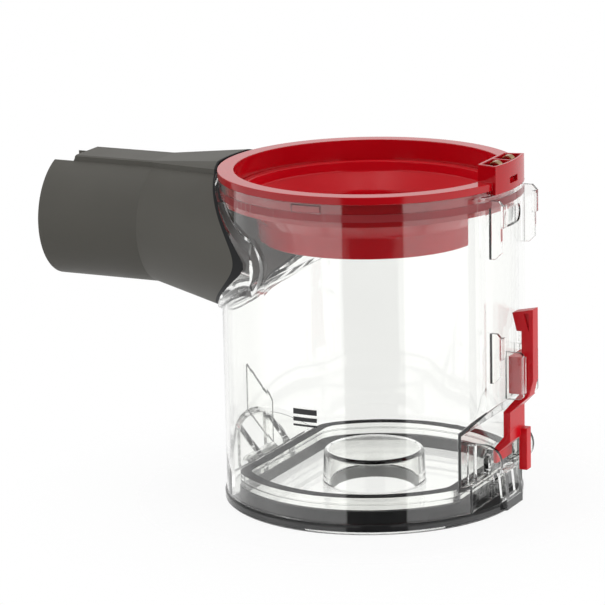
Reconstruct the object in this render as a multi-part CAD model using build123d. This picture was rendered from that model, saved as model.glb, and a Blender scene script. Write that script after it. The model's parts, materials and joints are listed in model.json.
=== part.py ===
from build123d import *
import os
from math import radians, sqrt, tan

# Clear cyclone dust bin with a side inlet, a red collar with a shroud scraper,
# a hinged base and a red release runner.
# Millimetres. +Z is up, the bin's axis is the Z axis, the ground is Z = 0.
# The inlet duct points along -X and the release runner is on the +X side.

# Running and fitting gaps
SEAT_GAP = 0.05
SLIDE_GAP = 0.35
LID_GAP = 0.3

# Clear bin wall
BIN_RADIUS = 59.3
BIN_WALL = 2.0
BIN_HEIGHT = 126.6
RIM_OVERHANG = 0.7

# Flat and ramp that make room for the catch at the rear, as depths from the wall
REAR_SKIRT_DEPTH = 5.5
REAR_SKIRT_TOP = 15.0
REAR_DEPTH = 8.1
REAR_FLAT_TOP = 36.0
REAR_RAMP_ANGLE = 46.7

# Flat, ramp and arched window that make room for the hinge at the front
FRONT_DEPTH = 13.6
FRONT_FLAT_TOP = 12.8
FRONT_RAMP_ANGLE = 48.0
ARCH_HALF_WIDTH = 25.5
ARCH_RISE = 21.0

# Fin that stops the dust from turning
FIN_WALL = 1.4
FIN_DEPTH = 13.6
FIN_SHOULDER = 33.4
FIN_TOP = 49.0

# Sill inside the wall that lifts the incoming air, below the duct's axis
SILL_DEPTH = 19.3
SILL_LIP_DROP = 18.2
SILL_ROOT_DROP = 30.2
SILL_WALL = 2.0

# Raised pad at the rear, with two pairs of guide rails on it
PAD_RISE = 1.9
PAD_HALF_WIDTH = 19.8
PAD_ROOT_HALF_WIDTH = 26.0
PAD_TOP_DROP = 1.6
RAIL_OFFSET = 17.0
RAIL_WALL = 1.6
RAIL_LIP = 2.4
RAIL_LIP_WALL = 1.2
RAIL_ROUND = 2.0
RAIL_STEP = 0.9
RAIL_STEP_DROP = 10.5
RAIL_FOOT_CHAMFER = 2.6
UPPER_RAIL_DROP = 3.1
UPPER_RAIL_LENGTH = 23.0
UPPER_RAIL_REACH = 3.2
LOWER_RAIL_FOOT = 55.0
LOWER_RAIL_LENGTH = 20.0
LOWER_RAIL_REACH = 2.2
RECESS_WIDTH = 18.0
RECESS_HEIGHT = 7.0
RECESS_DROP = 12.1
RECESS_DEPTH = 1.3

# Channel that the runner's block slides in
CHEEK_WALL = 1.5
CHEEK_LIP = 1.6
CHEEK_LIP_WALL = 1.1
CHEEK_LENGTH = 18.9

# Ears, ribs and strike around the catch
EAR_OFFSET = 16.0
EAR_WALL = 1.8
EAR_REACH = 11.4
EAR_HEIGHT = 14.5
EAR_ROUND = 7.0
RIB_OFFSET = 23.0
RIB_WALL = 2.2
RIB_REACH = 3.2
RIB_HEIGHT = 16.0
GUARD_HALF_WIDTH = 7.5
GUARD_HEIGHT = 9.5
GUARD_CHAMFER = 2.6
GUARD_GAP = 0.9
STRIKE_HALF_WIDTH = 4.5
STRIKE_HEIGHT = 3.6
STRIKE_DROP = 0.6
COMB_COUNT = 6
COMB_PITCH = 3.2
COMB_WALL = 1.2
COMB_DEPTH = 1.2
COMB_FOOT = 5.6
COMB_HEIGHT = 4.6

# Inlet duct: a round spigot, then a flare that wraps round the bin
SPIGOT_RADIUS = 25.4
DUCT_WALL = 2.0
DUCT_REACH = 77.3
SPIGOT_LENGTH = 45.0
FLARE_INTRUSION = 33.0
FLARE_SIDE_INSET = 4.5
FLARE_HALF_HEIGHT = 35.1
FLARE_DROP = 3.6
SPINE_RISE = 1.8
SPINE_CROWN = 0.3
SPINE_CLIMB = 2.9
SPINE_HALF_WIDTH = 10.0
SPINE_END_HALF_WIDTH = 29.0
NOTCH_LENGTH = 9.5
NOTCH_ROUND = 4.5
INLET_PAD_RISE = 1.7
INLET_PAD_MARGIN = 1.2
GASKET_THICK = 0.9

# Red collar
FLANGE_THICK = 3.0
COLLAR_FIT = 0.3
COLLAR_WALL = 3.4
COLLAR_DEPTH = 9.3
COLLAR_LIP = 1.4
COLLAR_LIP_THICK = 1.2
GROOVE_DROP = 7.1
GROOVE_HEIGHT = 2.9
GROOVE_DEPTH = 1.6
SNAP_WIDTH = 12.0
SNAP_HEIGHT = 3.0
SNAP_DROP = 2.5
SNAP_GAP = 0.2
SNAP_SKIN = 0.8

# Contact boss on the collar
BOSS_OVERHANG = 1.7
BOSS_INTRUSION = 2.0
BOSS_INNER_HALF_WIDTH = 12.4
BOSS_OUTER_HALF_WIDTH = 14.4
BOSS_DROP = 1.6
BOSS_HEIGHT = 6.7
BOSS_WALL = 1.3
BOSS_POCKET_DEPTH = 7.5
BOSS_SLOT_WIDTH = 7.4
BOSS_SLOT_HEIGHT = 2.4
BOSS_SLOT_DROP = 1.8
BOSS_SLOT_DEPTH = 2.0
CONTACT_WIDTH = 3.4
CONTACT_THICK = 0.5
CONTACT_ROUND = 2.4
CONTACT_PROUD = 0.6

# Flexible scraper that hangs below the collar
SCRAPER_RIM_THICK = 3.0
SCRAPER_RIM_WIDTH = 3.2
SCRAPER_WALL = 2.0
SCRAPER_KNEE_DROP = 6.7
SCRAPER_KNEE_INSET = 10.4
SCRAPER_FOOT_DROP = 15.3
SCRAPER_FOOT_INSET = 11.4

# Hinged base
BASE_FLANGE_THICK = 3.7
BASE_EDGE_CHAMFER = 0.6
BASE_FLOOR_RISE = 1.3
PLUG_WALL = 2.0
PLUG_HEIGHT = 10.7
RIM_FIT = 0.1
RIM_GROOVE_DROP = 3.1
RIM_GROOVE_HEIGHT = 0.5
RIM_GROOVE_DEPTH = 0.5
KNOB_RADIUS = 20.2
KNOB_FLARE = 0.7
KNOB_HEIGHT = 14.9
KNOB_EDGE_DROP = 1.6
KNOB_EDGE_INSET = 1.1
KNOB_WALL = 2.0

# Base seal: a ring round the plug, and a flat washer under the bin's bottom edge
SEAL_WALL = 2.6
SEAL_HEIGHT = 5.1
SEAL_CORNER = 12.0
WASHER_THICK = 2.5
WASHER_INSET = 1.6
SEAL_SWING_RELIEF = 1.8

# Hinge
HINGE_REACH = 6.3
HINGE_RISE = 5.3
PIN_RADIUS = 1.5
PIN_FIT = 0.02
PIN_RUN = 0.08
KNUCKLE_RADIUS = 3.2
KNUCKLE_HALF_LENGTH = 9.7
LUG_RADIUS = 4.0
LUG_WALL = 4.0
LUG_FOOT_RISE = 1.0

# Catch loop on the base
CATCH_HALF_WIDTH = 8.0
CATCH_ARM = 3.0
CATCH_FOOT = 1.0
CATCH_OVERHANG = 1.2
CATCH_ROOT_DEPTH = 2.6
CATCH_BEND = 0.5
CATCH_LEAN = 3.9
CATCH_BAR_DEPTH = 2.3
CATCH_BAR_HEIGHT = 2.0
CATCH_BAR_RISE = 1.2
CATCH_SILL = 1.9

# Release runner
RUNNER_TRAVEL = 5.0
STEM_HALF_WIDTH = 2.7
STEM_STANDOFF = 4.2
STEM_DEPTH = 4.9
HEAD_RISE = 16.5
HEAD_HEIGHT = 9.0
HEAD_SLOPE = 1.8
HEAD_POCKET_DEPTH = 1.1
BLOCK_HALF_WIDTH = 5.9
BLOCK_RISE = 1.9
BLOCK_HEIGHT = 15.0
BLOCK_OVERLAP = 1.4
BEND_HEIGHT = 7.5
PLATE_HALF_WIDTH = 7.5
PLATE_INSET = 1.6
PLATE_DEPTH = 2.9
PLATE_RISE = 5.0
TOE_DEPTH = 1.5
TOE_GAP = 2.4
TOE_CLEARANCE = 1.4
LEG_DEPTH = 3.4
LEG_OVERLAP = 0.8
LEG_WIDTH = 4.3
LEG_FOOT = 15.0
LEG_RISE = 3.0

# Places that follow from the sizes above
BIN_BORE = BIN_RADIUS - BIN_WALL
BASE_FLANGE_TOP = BASE_FLANGE_THICK
BIN_FOOT = BASE_FLANGE_TOP + LID_GAP
BIN_TOP = BIN_FOOT + BIN_HEIGHT
REAR_SKIRT_FLAT = BIN_RADIUS - REAR_SKIRT_DEPTH
REAR_FLAT = BIN_RADIUS - REAR_DEPTH
FRONT_FLAT = BIN_RADIUS - FRONT_DEPTH
PAD_RADIUS = BIN_RADIUS + PAD_RISE
PAD_TOP = BIN_TOP - PAD_TOP_DROP
PAD_FOOT = REAR_FLAT_TOP + (PAD_RADIUS - REAR_FLAT) * tan(radians(REAR_RAMP_ANGLE))
FLANGE_RADIUS = BIN_RADIUS + RIM_OVERHANG
BASE_RADIUS = BIN_RADIUS + RIM_OVERHANG

SPIGOT_HEIGHT = BIN_TOP - SPIGOT_RADIUS
DUCT_MOUTH = BIN_RADIUS + DUCT_REACH
DUCT_CREASE = DUCT_MOUTH - SPIGOT_LENGTH
FLARE_END = BIN_RADIUS - FLARE_INTRUSION
FLARE_HEIGHT = SPIGOT_HEIGHT - FLARE_DROP
FLARE_HALF_WIDTH = BIN_RADIUS - FLARE_SIDE_INSET
INLET_PAD_RADIUS = BIN_RADIUS + INLET_PAD_RISE
DUCT_SEAT_RADIUS = INLET_PAD_RADIUS + GASKET_THICK

COLLAR_RADIUS = BIN_BORE - COLLAR_FIT
COLLAR_BORE = COLLAR_RADIUS - COLLAR_WALL
COLLAR_FOOT = BIN_TOP - COLLAR_DEPTH
COLLAR_LIP_BORE = COLLAR_BORE - COLLAR_LIP
COLLAR_SHELF = COLLAR_FOOT + COLLAR_LIP_THICK
FLANGE_TOP = BIN_TOP + FLANGE_THICK
GROOVE_FOOT = BIN_TOP - GROOVE_DROP
GROOVE_TOP = GROOVE_FOOT + GROOVE_HEIGHT
SNAP_MIDDLE = BIN_TOP - SNAP_DROP
SNAP_REACH = BIN_RADIUS - SNAP_SKIN
BOSS_RADIUS = FLANGE_RADIUS + BOSS_OVERHANG
BOSS_FLAT = COLLAR_BORE - BOSS_INTRUSION
BOSS_FOOT = BIN_TOP - BOSS_DROP
BOSS_TOP = FLANGE_TOP + BOSS_HEIGHT
BOSS_FLOOR = BOSS_TOP - BOSS_POCKET_DEPTH

SEAL_TOP = BASE_FLANGE_TOP + SEAL_HEIGHT
WASHER_FOOT = BASE_FLANGE_TOP - WASHER_THICK
WASHER_RADIUS = BASE_RADIUS - WASHER_INSET
PLUG_TOP = BASE_FLANGE_TOP + PLUG_HEIGHT
RIM_GROOVE_FOOT = PLUG_TOP - RIM_GROOVE_DROP
KNOB_TOP = BASE_FLANGE_TOP + KNOB_HEIGHT
KNOB_BORE = KNOB_RADIUS - KNOB_WALL
HINGE_X = -FRONT_FLAT - HINGE_REACH
HINGE_Z = BASE_FLANGE_TOP + HINGE_RISE
LUG_INNER = KNUCKLE_HALF_LENGTH + LID_GAP
LUG_OUTER = LUG_INNER + LUG_WALL

STRIKE_TOP = REAR_SKIRT_TOP - STRIKE_DROP
STRIKE_FOOT = STRIKE_TOP - STRIKE_HEIGHT
CATCH_ROOT_OUTER = BASE_RADIUS + CATCH_OVERHANG
CATCH_ROOT_INNER = CATCH_ROOT_OUTER - CATCH_ROOT_DEPTH
CATCH_BAR_INNER = CATCH_ROOT_OUTER - CATCH_LEAN
CATCH_BAR_FOOT = STRIKE_TOP + CATCH_BAR_RISE
CATCH_BAR_TOP = CATCH_BAR_FOOT + CATCH_BAR_HEIGHT
STRIKE_REACH = CATCH_BAR_INNER - LID_GAP

CHEEK_INNER = BLOCK_HALF_WIDTH + SLIDE_GAP
RUNNER_FACE = PAD_RADIUS + SLIDE_GAP
STEM_INNER = PAD_RADIUS + STEM_STANDOFF
STEM_OUTER = STEM_INNER + STEM_DEPTH
BLOCK_OUTER = STEM_INNER + BLOCK_OVERLAP
CHEEK_REACH = BLOCK_OUTER + SLIDE_GAP + CHEEK_LIP_WALL
CHEEK_TOP = PAD_FOOT + CHEEK_LENGTH
HEAD_TOP = CHEEK_TOP + HEAD_RISE
HEAD_FOOT = HEAD_TOP - HEAD_HEIGHT
BLOCK_FOOT = PAD_FOOT + BLOCK_RISE
BEND_TOP = BLOCK_FOOT
BEND_FOOT = BEND_TOP - BEND_HEIGHT
PLATE_INNER = PAD_RADIUS - PLATE_INSET
PLATE_OUTER = PLATE_INNER + PLATE_DEPTH
TOE_OUTER = CATCH_BAR_INNER - LID_GAP
TOE_INNER = TOE_OUTER - TOE_DEPTH
TOE_FOOT = CATCH_BAR_TOP + TOE_GAP
TOE_TOP = CATCH_BAR_TOP + RUNNER_TRAVEL + TOE_CLEARANCE
PLATE_FOOT = TOE_TOP + PLATE_RISE
LEG_INNER = PLATE_OUTER - LEG_OVERLAP
GUARD_REACH = TOE_INNER - GUARD_GAP

FAR = 200.0


# Small helpers
def disc(radius, foot, top):
    """Upright cylinder on the bin's axis."""
    return Pos(0, 0, foot) * Cylinder(radius, top - foot, align=(Align.CENTER, Align.CENTER, Align.MIN))


def block(x0, x1, y0, y1, z0, z1):
    """Box between two corners."""
    return Pos(x0, y0, z0) * Box(x1 - x0, y1 - y0, z1 - z0, align=(Align.MIN, Align.MIN, Align.MIN))


def side_face(points):
    """Polygon drawn in X and Z."""
    return make_face(Polyline([(x, 0, z) for x, z in points], close=True))


def side_prism(points, y0, y1):
    """Polygon in X and Z, given its thickness along Y."""
    return Pos(0, y1, 0) * extrude(side_face(points), y1 - y0, dir=(0, -1, 0))


def turned(points):
    """Closed profile of radius and height, turned about the bin's axis."""
    return revolve(side_face(points), Axis.Z)


def rod_y(radius, x, z, y0, y1):
    """Cylinder along Y."""
    return Pos(x, (y0 + y1) / 2, z) * Rot(90, 0, 0) * Cylinder(radius, y1 - y0)


def both_sides(piece):
    """The piece and its mirror image across the XZ plane."""
    return piece + mirror(piece, Plane.XZ)


def round_outer_corners(solid, radius):
    """Round the two corners that face outwards, seen from the side."""
    return fillet(solid.edges().filter_by(Axis.Y).group_by(Axis.X)[-1], radius)


# Clear bin body
def rear_pocket(grow):
    """Space behind the bin's rear flat and ramp, grown by a wall."""
    reach = FAR - REAR_FLAT
    outline = side_face([
        (REAR_SKIRT_FLAT, -FAR),
        (REAR_SKIRT_FLAT, REAR_SKIRT_TOP),
        (REAR_FLAT, REAR_SKIRT_TOP),
        (REAR_FLAT, REAR_FLAT_TOP),
        (FAR, REAR_FLAT_TOP + reach * tan(radians(REAR_RAMP_ANGLE))),
        (FAR, -FAR),
    ])
    if grow > 0:
        outline = offset(outline, grow, kind=Kind.INTERSECTION)
    return extrude(outline, FAR, dir=(0, 1, 0), both=True)


def front_pocket(grow):
    """Space in front of the bin's front flat and ramp, grown by a wall."""
    reach = FAR - FRONT_FLAT
    outline = side_face([
        (-FRONT_FLAT, -FAR),
        (-FRONT_FLAT, FRONT_FLAT_TOP),
        (-FAR, FRONT_FLAT_TOP + reach * tan(radians(FRONT_RAMP_ANGLE))),
        (-FAR, -FAR),
    ])
    if grow > 0:
        outline = offset(outline, grow, kind=Kind.INTERSECTION)
    return extrude(outline, FAR, dir=(0, 1, 0), both=True)


def inlet_opening():
    """Opening through the wall that carries on the duct's bore, up to the collar's foot."""
    return inlet_form(-DUCT_WALL) & block(-FAR, 0, -FAR, FAR, 0, COLLAR_FOOT)


def hinge_arch():
    """Arched window through the wall in front of the hinge."""
    arch = Plane.YZ * Pos(0, BIN_FOOT) * Ellipse(ARCH_HALF_WIDTH, ARCH_RISE)
    return extrude(arch, -FAR)


def fin():
    """Flat fin on the front wall, standing on the ramp."""
    root = BIN_BORE + BIN_WALL / 2
    tip = BIN_RADIUS - FIN_DEPTH
    plate = side_prism([
        (-root, FIN_TOP),
        (-tip, FIN_SHOULDER),
        (-tip, BIN_FOOT),
        (-root, BIN_FOOT),
    ], -FIN_WALL / 2, FIN_WALL / 2)
    return plate - front_pocket(BIN_WALL / 2)


def sill():
    """Sloping sill under the inlet, trimmed to the bore."""
    lip = SPIGOT_HEIGHT - SILL_LIP_DROP
    root = SPIGOT_HEIGHT - SILL_ROOT_DROP
    plate = side_prism([
        (-BIN_RADIUS, root),
        (-BIN_RADIUS + SILL_DEPTH, lip),
        (-BIN_RADIUS + SILL_DEPTH, lip - SILL_WALL),
        (-BIN_RADIUS, root - SILL_WALL),
    ], -BIN_RADIUS, BIN_RADIUS)
    return plate & disc(BIN_BORE + BIN_WALL / 2, BIN_FOOT, BIN_TOP)


def rail(foot, length, reach):
    """Guide rail on the near side of the pad: an L section above a plain, shallower web."""
    root = sqrt(PAD_RADIUS ** 2 - RAIL_OFFSET ** 2) - BIN_WALL / 2
    edge = PAD_RADIUS + reach
    outer = -RAIL_OFFSET - RAIL_WALL / 2
    inner = -RAIL_OFFSET + RAIL_WALL / 2
    top = foot + length
    web = side_prism([
        (root, foot),
        (edge - RAIL_STEP - RAIL_FOOT_CHAMFER, foot),
        (edge - RAIL_STEP, foot + RAIL_FOOT_CHAMFER),
        (edge - RAIL_STEP, top - RAIL_STEP_DROP),
        (edge, top - RAIL_STEP_DROP),
        (edge, top - RAIL_ROUND),
        (edge - RAIL_ROUND, top),
        (root, top),
    ], outer, inner)
    return web + block(
        edge - RAIL_LIP_WALL, edge, outer, inner + RAIL_LIP, top - RAIL_STEP_DROP, top - RAIL_ROUND)


def pad_recess():
    """Shallow oval recess in the pad, between the upper rails."""
    face = Plane(origin=(PAD_RADIUS, 0, BIN_TOP - RECESS_DROP), x_dir=(0, 1, 0), z_dir=(1, 0, 0))
    return extrude(face * SlotOverall(RECESS_WIDTH, RECESS_HEIGHT), -RECESS_DEPTH)


def cheek():
    """One cheek of the runner's channel, on the near side, with its lip."""
    outer = -CHEEK_INNER - CHEEK_WALL
    wall = block(PAD_RADIUS - BIN_WALL, CHEEK_REACH, outer, -CHEEK_INNER, PAD_FOOT, CHEEK_TOP)
    lip = block(
        CHEEK_REACH - CHEEK_LIP_WALL, CHEEK_REACH, outer, -CHEEK_INNER + CHEEK_LIP,
        PAD_FOOT + RAIL_ROUND, CHEEK_TOP - RAIL_ROUND)
    return round_outer_corners(wall, RAIL_ROUND) + lip


def ear():
    """Rounded ear beside the catch, on the near side."""
    solid = block(
        REAR_FLAT - BIN_WALL / 2, REAR_FLAT + EAR_REACH,
        -EAR_OFFSET - EAR_WALL / 2, -EAR_OFFSET + EAR_WALL / 2,
        REAR_SKIRT_TOP, REAR_SKIRT_TOP + EAR_HEIGHT)
    return round_outer_corners(solid, EAR_ROUND)


def comb():
    """Row of small ribs on the skirt below the strike."""
    solid = None
    for place in range(COMB_COUNT):
        middle = (place - (COMB_COUNT - 1) / 2) * COMB_PITCH
        tooth = block(
            REAR_SKIRT_FLAT - BIN_WALL / 2, REAR_SKIRT_FLAT + COMB_DEPTH,
            middle - COMB_WALL / 2, middle + COMB_WALL / 2, COMB_FOOT, COMB_FOOT + COMB_HEIGHT)
        solid = tooth if solid is None else solid + tooth
    return solid


def strike():
    """Wedge that the catch loop hooks over."""
    root = REAR_SKIRT_FLAT - BIN_WALL / 2
    return side_prism([
        (root, STRIKE_FOOT),
        (REAR_SKIRT_FLAT, STRIKE_FOOT),
        (STRIKE_REACH, STRIKE_TOP - BIN_WALL / 2),
        (STRIKE_REACH, STRIKE_TOP),
        (root, STRIKE_TOP),
    ], -STRIKE_HALF_WIDTH, STRIKE_HALF_WIDTH)


def catch_surround():
    """Ears, ribs, guard plate, strike and comb on the rear flat."""
    root = REAR_FLAT - BIN_WALL / 2
    rib = block(
        root, REAR_FLAT + RIB_REACH,
        -RIB_OFFSET - RIB_WALL / 2, -RIB_OFFSET + RIB_WALL / 2,
        REAR_SKIRT_TOP, REAR_SKIRT_TOP + RIB_HEIGHT)
    guard = block(
        root, GUARD_REACH, -GUARD_HALF_WIDTH, GUARD_HALF_WIDTH,
        REAR_SKIRT_TOP, REAR_SKIRT_TOP + GUARD_HEIGHT)
    guard = chamfer(guard.edges().filter_by(Axis.X).group_by(Axis.Z)[-1], GUARD_CHAMFER)
    return both_sides(ear()) + both_sides(rib) + guard + strike() + comb()


def hinge_lug():
    """Lug that holds the near end of the hinge pin, with a gusset up to the ramp."""
    tip = HINGE_X - LUG_RADIUS
    ramp_rise = (-tip - FRONT_FLAT) * tan(radians(FRONT_RAMP_ANGLE))
    root = -FRONT_FLAT + BIN_WALL / 2
    gusset = side_prism([
        (tip, HINGE_Z),
        (tip, FRONT_FLAT_TOP + ramp_rise),
        (root, FRONT_FLAT_TOP),
        (root, BIN_FOOT + LUG_FOOT_RISE),
        (HINGE_X, BIN_FOOT + LUG_FOOT_RISE),
    ], -LUG_OUTER, -LUG_INNER)
    gusset += rod_y(LUG_RADIUS, HINGE_X, HINGE_Z, -LUG_OUTER, -LUG_INNER)
    return gusset - rod_y(PIN_RADIUS + PIN_FIT, HINGE_X, HINGE_Z, -FAR, FAR)


def snap_pockets():
    """Shallow pockets inside the wall for the collar's snap lugs."""
    pocket = block(
        -SNAP_WIDTH / 2, SNAP_WIDTH / 2, -FAR, -BIN_BORE / 2,
        SNAP_MIDDLE - SNAP_HEIGHT / 2, SNAP_MIDDLE + SNAP_HEIGHT / 2)
    return both_sides(pocket & disc(SNAP_REACH, 0, FAR))


def rear_pad():
    """Raised pad at the rear, with flanks that slope into the wall."""
    root = sqrt(BIN_RADIUS ** 2 - PAD_ROOT_HALF_WIDTH ** 2)
    tip = sqrt(PAD_RADIUS ** 2 - PAD_HALF_WIDTH ** 2)
    plan = make_face(Polyline([
        (0, -PAD_ROOT_HALF_WIDTH),
        (root, -PAD_ROOT_HALF_WIDTH),
        (tip, -PAD_HALF_WIDTH),
        (FAR, -PAD_HALF_WIDTH),
        (FAR, PAD_HALF_WIDTH),
        (tip, PAD_HALF_WIDTH),
        (root, PAD_ROOT_HALF_WIDTH),
        (0, PAD_ROOT_HALF_WIDTH),
    ], close=True))
    return extrude(plan, FAR) & disc(PAD_RADIUS, BIN_FOOT, PAD_TOP)


def bin_shell():
    """Wall, pads and pockets, before the ribs and rails."""
    wall = disc(BIN_RADIUS, BIN_FOOT, BIN_TOP)
    inlet_pad = inlet_form(INLET_PAD_MARGIN) & disc(INLET_PAD_RADIUS, BIN_FOOT, BIN_TOP)
    cavity = disc(BIN_BORE, -FAR, FAR) - rear_pocket(BIN_WALL) - front_pocket(BIN_WALL)
    hinge_space = front_pocket(0) & (disc(BIN_BORE, -FAR, FAR) + hinge_arch())
    shell = wall + rear_pad() + inlet_pad - rear_pocket(0) - cavity - hinge_space
    boss_seat = boss_outline(0) & disc(FAR, BOSS_FOOT, FAR)
    return shell - inlet_opening() - snap_pockets() - pad_recess() - boss_seat


def bin_body():
    body = bin_shell() + fin() + sill()
    upper_foot = BIN_TOP - UPPER_RAIL_DROP - UPPER_RAIL_LENGTH
    body += both_sides(rail(upper_foot, UPPER_RAIL_LENGTH, UPPER_RAIL_REACH))
    body += both_sides(rail(LOWER_RAIL_FOOT, LOWER_RAIL_LENGTH, LOWER_RAIL_REACH))
    body += both_sides(cheek())
    body += catch_surround()
    body += both_sides(hinge_lug())
    return body


# Inlet duct
def duct_plane(x, height):
    """Plane across the duct at a place along X."""
    return Plane(origin=(x, 0, height), x_dir=(0, 1, 0), z_dir=(1, 0, 0))


def flare_oval(grow):
    """Oval that the flare ends in, inside the bin."""
    oval = Ellipse(FLARE_HALF_WIDTH + grow, FLARE_HALF_HEIGHT + grow)
    return duct_plane(-FLARE_END, FLARE_HEIGHT) * oval


def flare(grow):
    """Flare from the spigot's circle to the oval, grown or shrunk by a wall."""
    start = duct_plane(-DUCT_CREASE, SPIGOT_HEIGHT) * Circle(SPIGOT_RADIUS + grow)
    return loft([start, flare_oval(grow)])


def inlet_form(grow):
    """The flare, carried on straight to the bin's axis."""
    return flare(grow) + extrude(flare_oval(grow), FLARE_END)


def spigot(radius, x0, x1):
    """Cylinder along the duct's axis."""
    return extrude(duct_plane(x0, SPIGOT_HEIGHT) * Circle(radius), x1 - x0)


def spine():
    """Flat-topped band along the top of the duct, wider towards the bin."""
    top = SPIGOT_HEIGHT + SPIGOT_RADIUS + SPINE_CROWN
    plan = extrude(make_face(Polyline([
        (-DUCT_MOUTH, -SPINE_HALF_WIDTH),
        (-DUCT_CREASE, -SPINE_HALF_WIDTH),
        (-FLARE_END, -SPINE_END_HALF_WIDTH),
        (-FLARE_END, SPINE_END_HALF_WIDTH),
        (-DUCT_CREASE, SPINE_HALF_WIDTH),
        (-DUCT_MOUTH, SPINE_HALF_WIDTH),
    ], close=True)), FAR)
    side = side_prism([
        (-DUCT_MOUTH, SPIGOT_HEIGHT),
        (-DUCT_MOUTH, top),
        (-DUCT_CREASE, top),
        (-BIN_RADIUS, top + SPINE_CLIMB),
        (-FLARE_END, top + SPINE_CLIMB),
        (-FLARE_END, SPIGOT_HEIGHT),
    ], -FAR, FAR)
    band = spigot(SPIGOT_RADIUS + SPINE_RISE, -DUCT_MOUTH, -DUCT_CREASE) + flare(SPINE_RISE)
    return band & plan & side


def duct_walls():
    """Duct and flare together, still running through the bin's wall."""
    outer = spigot(SPIGOT_RADIUS, -DUCT_MOUTH, -DUCT_CREASE) + flare(0) + spine()
    bore = SPIGOT_RADIUS - DUCT_WALL
    return outer - spigot(bore, -DUCT_MOUTH - DUCT_WALL, -DUCT_CREASE) - flare(-DUCT_WALL)


def mouth_notch():
    """Notch in the top of the mouth, with a round inner end."""
    end = -DUCT_MOUTH + NOTCH_LENGTH
    foot = SPIGOT_HEIGHT + sqrt(SPIGOT_RADIUS ** 2 - SPINE_HALF_WIDTH ** 2) - DUCT_WALL
    notch = block(-FAR, end - NOTCH_ROUND, -SPINE_HALF_WIDTH, SPINE_HALF_WIDTH, foot, FAR)
    return notch + rod_y(
        NOTCH_ROUND, end - NOTCH_ROUND, foot + NOTCH_ROUND, -SPINE_HALF_WIDTH, SPINE_HALF_WIDTH)


def inlet_duct():
    return duct_walls() - disc(DUCT_SEAT_RADIUS, 0, FAR) - mouth_notch()


def duct_gasket():
    return duct_walls() & (disc(DUCT_SEAT_RADIUS, 0, FAR) - disc(INLET_PAD_RADIUS, 0, FAR))


# Collar and what it holds
def boss_outline(shrink):
    """Plan of the contact boss, from its inner flat to its round outer face."""
    outer_x = sqrt(BOSS_RADIUS ** 2 - BOSS_OUTER_HALF_WIDTH ** 2)
    plan = make_face(Polyline([
        (BOSS_FLAT, -BOSS_INNER_HALF_WIDTH),
        (outer_x, -BOSS_OUTER_HALF_WIDTH),
        (FAR, -BOSS_OUTER_HALF_WIDTH),
        (FAR, BOSS_OUTER_HALF_WIDTH),
        (outer_x, BOSS_OUTER_HALF_WIDTH),
        (BOSS_FLAT, BOSS_INNER_HALF_WIDTH),
    ], close=True)) & Circle(BOSS_RADIUS)
    if shrink > 0:
        plan = offset(plan, -shrink, kind=Kind.INTERSECTION)
    return extrude(plan, FAR)


def boss_pockets():
    """Two open pockets in the boss, with a wall left between them."""
    pocket = boss_outline(BOSS_WALL) & disc(FAR, BOSS_FLOOR, FAR)
    return pocket - block(0, FAR, -BOSS_WALL / 2, BOSS_WALL / 2, 0, FAR)


def boss_slot():
    """Slot in the outer face of the boss."""
    top = FLANGE_TOP - BOSS_SLOT_DROP + BOSS_SLOT_HEIGHT
    return block(
        BOSS_RADIUS - BOSS_SLOT_DEPTH, FAR,
        -BOSS_SLOT_WIDTH / 2, BOSS_SLOT_WIDTH / 2, FLANGE_TOP - BOSS_SLOT_DROP, top)


def snap_lugs():
    """Lugs on the collar that click into the bin's pockets."""
    half_width = SNAP_WIDTH / 2 - SNAP_GAP
    half_height = SNAP_HEIGHT / 2 - SNAP_GAP
    lug = block(
        -half_width, half_width, -BIN_RADIUS, 0,
        SNAP_MIDDLE - half_height, SNAP_MIDDLE + half_height)
    lug &= disc(SNAP_REACH - SNAP_GAP, 0, FAR) - disc(COLLAR_BORE + COLLAR_WALL / 2, 0, FAR)
    return both_sides(lug)


def collar_ring():
    """Flange and band of the collar, with a groove outside and a shelf inside."""
    groove = COLLAR_RADIUS - GROOVE_DEPTH
    return turned([
        (COLLAR_BORE, FLANGE_TOP),
        (FLANGE_RADIUS, FLANGE_TOP),
        (FLANGE_RADIUS, BIN_TOP),
        (COLLAR_RADIUS, BIN_TOP),
        (COLLAR_RADIUS, GROOVE_TOP),
        (groove, GROOVE_TOP),
        (groove, GROOVE_FOOT),
        (COLLAR_RADIUS, GROOVE_FOOT),
        (COLLAR_RADIUS, COLLAR_FOOT),
        (COLLAR_LIP_BORE, COLLAR_FOOT),
        (COLLAR_LIP_BORE, COLLAR_SHELF),
        (COLLAR_BORE, COLLAR_SHELF),
    ])


def collar():
    boss = boss_outline(0) & disc(FAR, BOSS_FOOT, BOSS_TOP)
    return collar_ring() + snap_lugs() + boss - boss_pockets() - boss_slot()


def collar_seal():
    inner = COLLAR_RADIUS - GROOVE_DEPTH + SEAT_GAP
    return disc(BIN_BORE - SEAT_GAP, GROOVE_FOOT, GROOVE_TOP) - disc(inner, 0, FAR)


def shroud_scraper():
    rim = COLLAR_BORE - SEAT_GAP
    rim_bore = COLLAR_BORE - SCRAPER_RIM_WIDTH
    rim_top = COLLAR_SHELF + SCRAPER_RIM_THICK
    neck = COLLAR_LIP_BORE - SEAT_GAP
    knee = COLLAR_FOOT - SCRAPER_KNEE_DROP
    knee_bore = COLLAR_BORE - SCRAPER_KNEE_INSET
    foot = COLLAR_FOOT - SCRAPER_FOOT_DROP
    foot_bore = COLLAR_BORE - SCRAPER_FOOT_INSET
    return turned([
        (rim_bore, rim_top),
        (rim, rim_top),
        (rim, COLLAR_SHELF),
        (neck, COLLAR_SHELF),
        (neck, COLLAR_FOOT),
        (knee_bore + SCRAPER_WALL, knee),
        (foot_bore + SCRAPER_WALL, foot),
        (foot_bore, foot),
        (knee_bore, knee),
        (rim_bore, COLLAR_FOOT),
    ])


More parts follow.
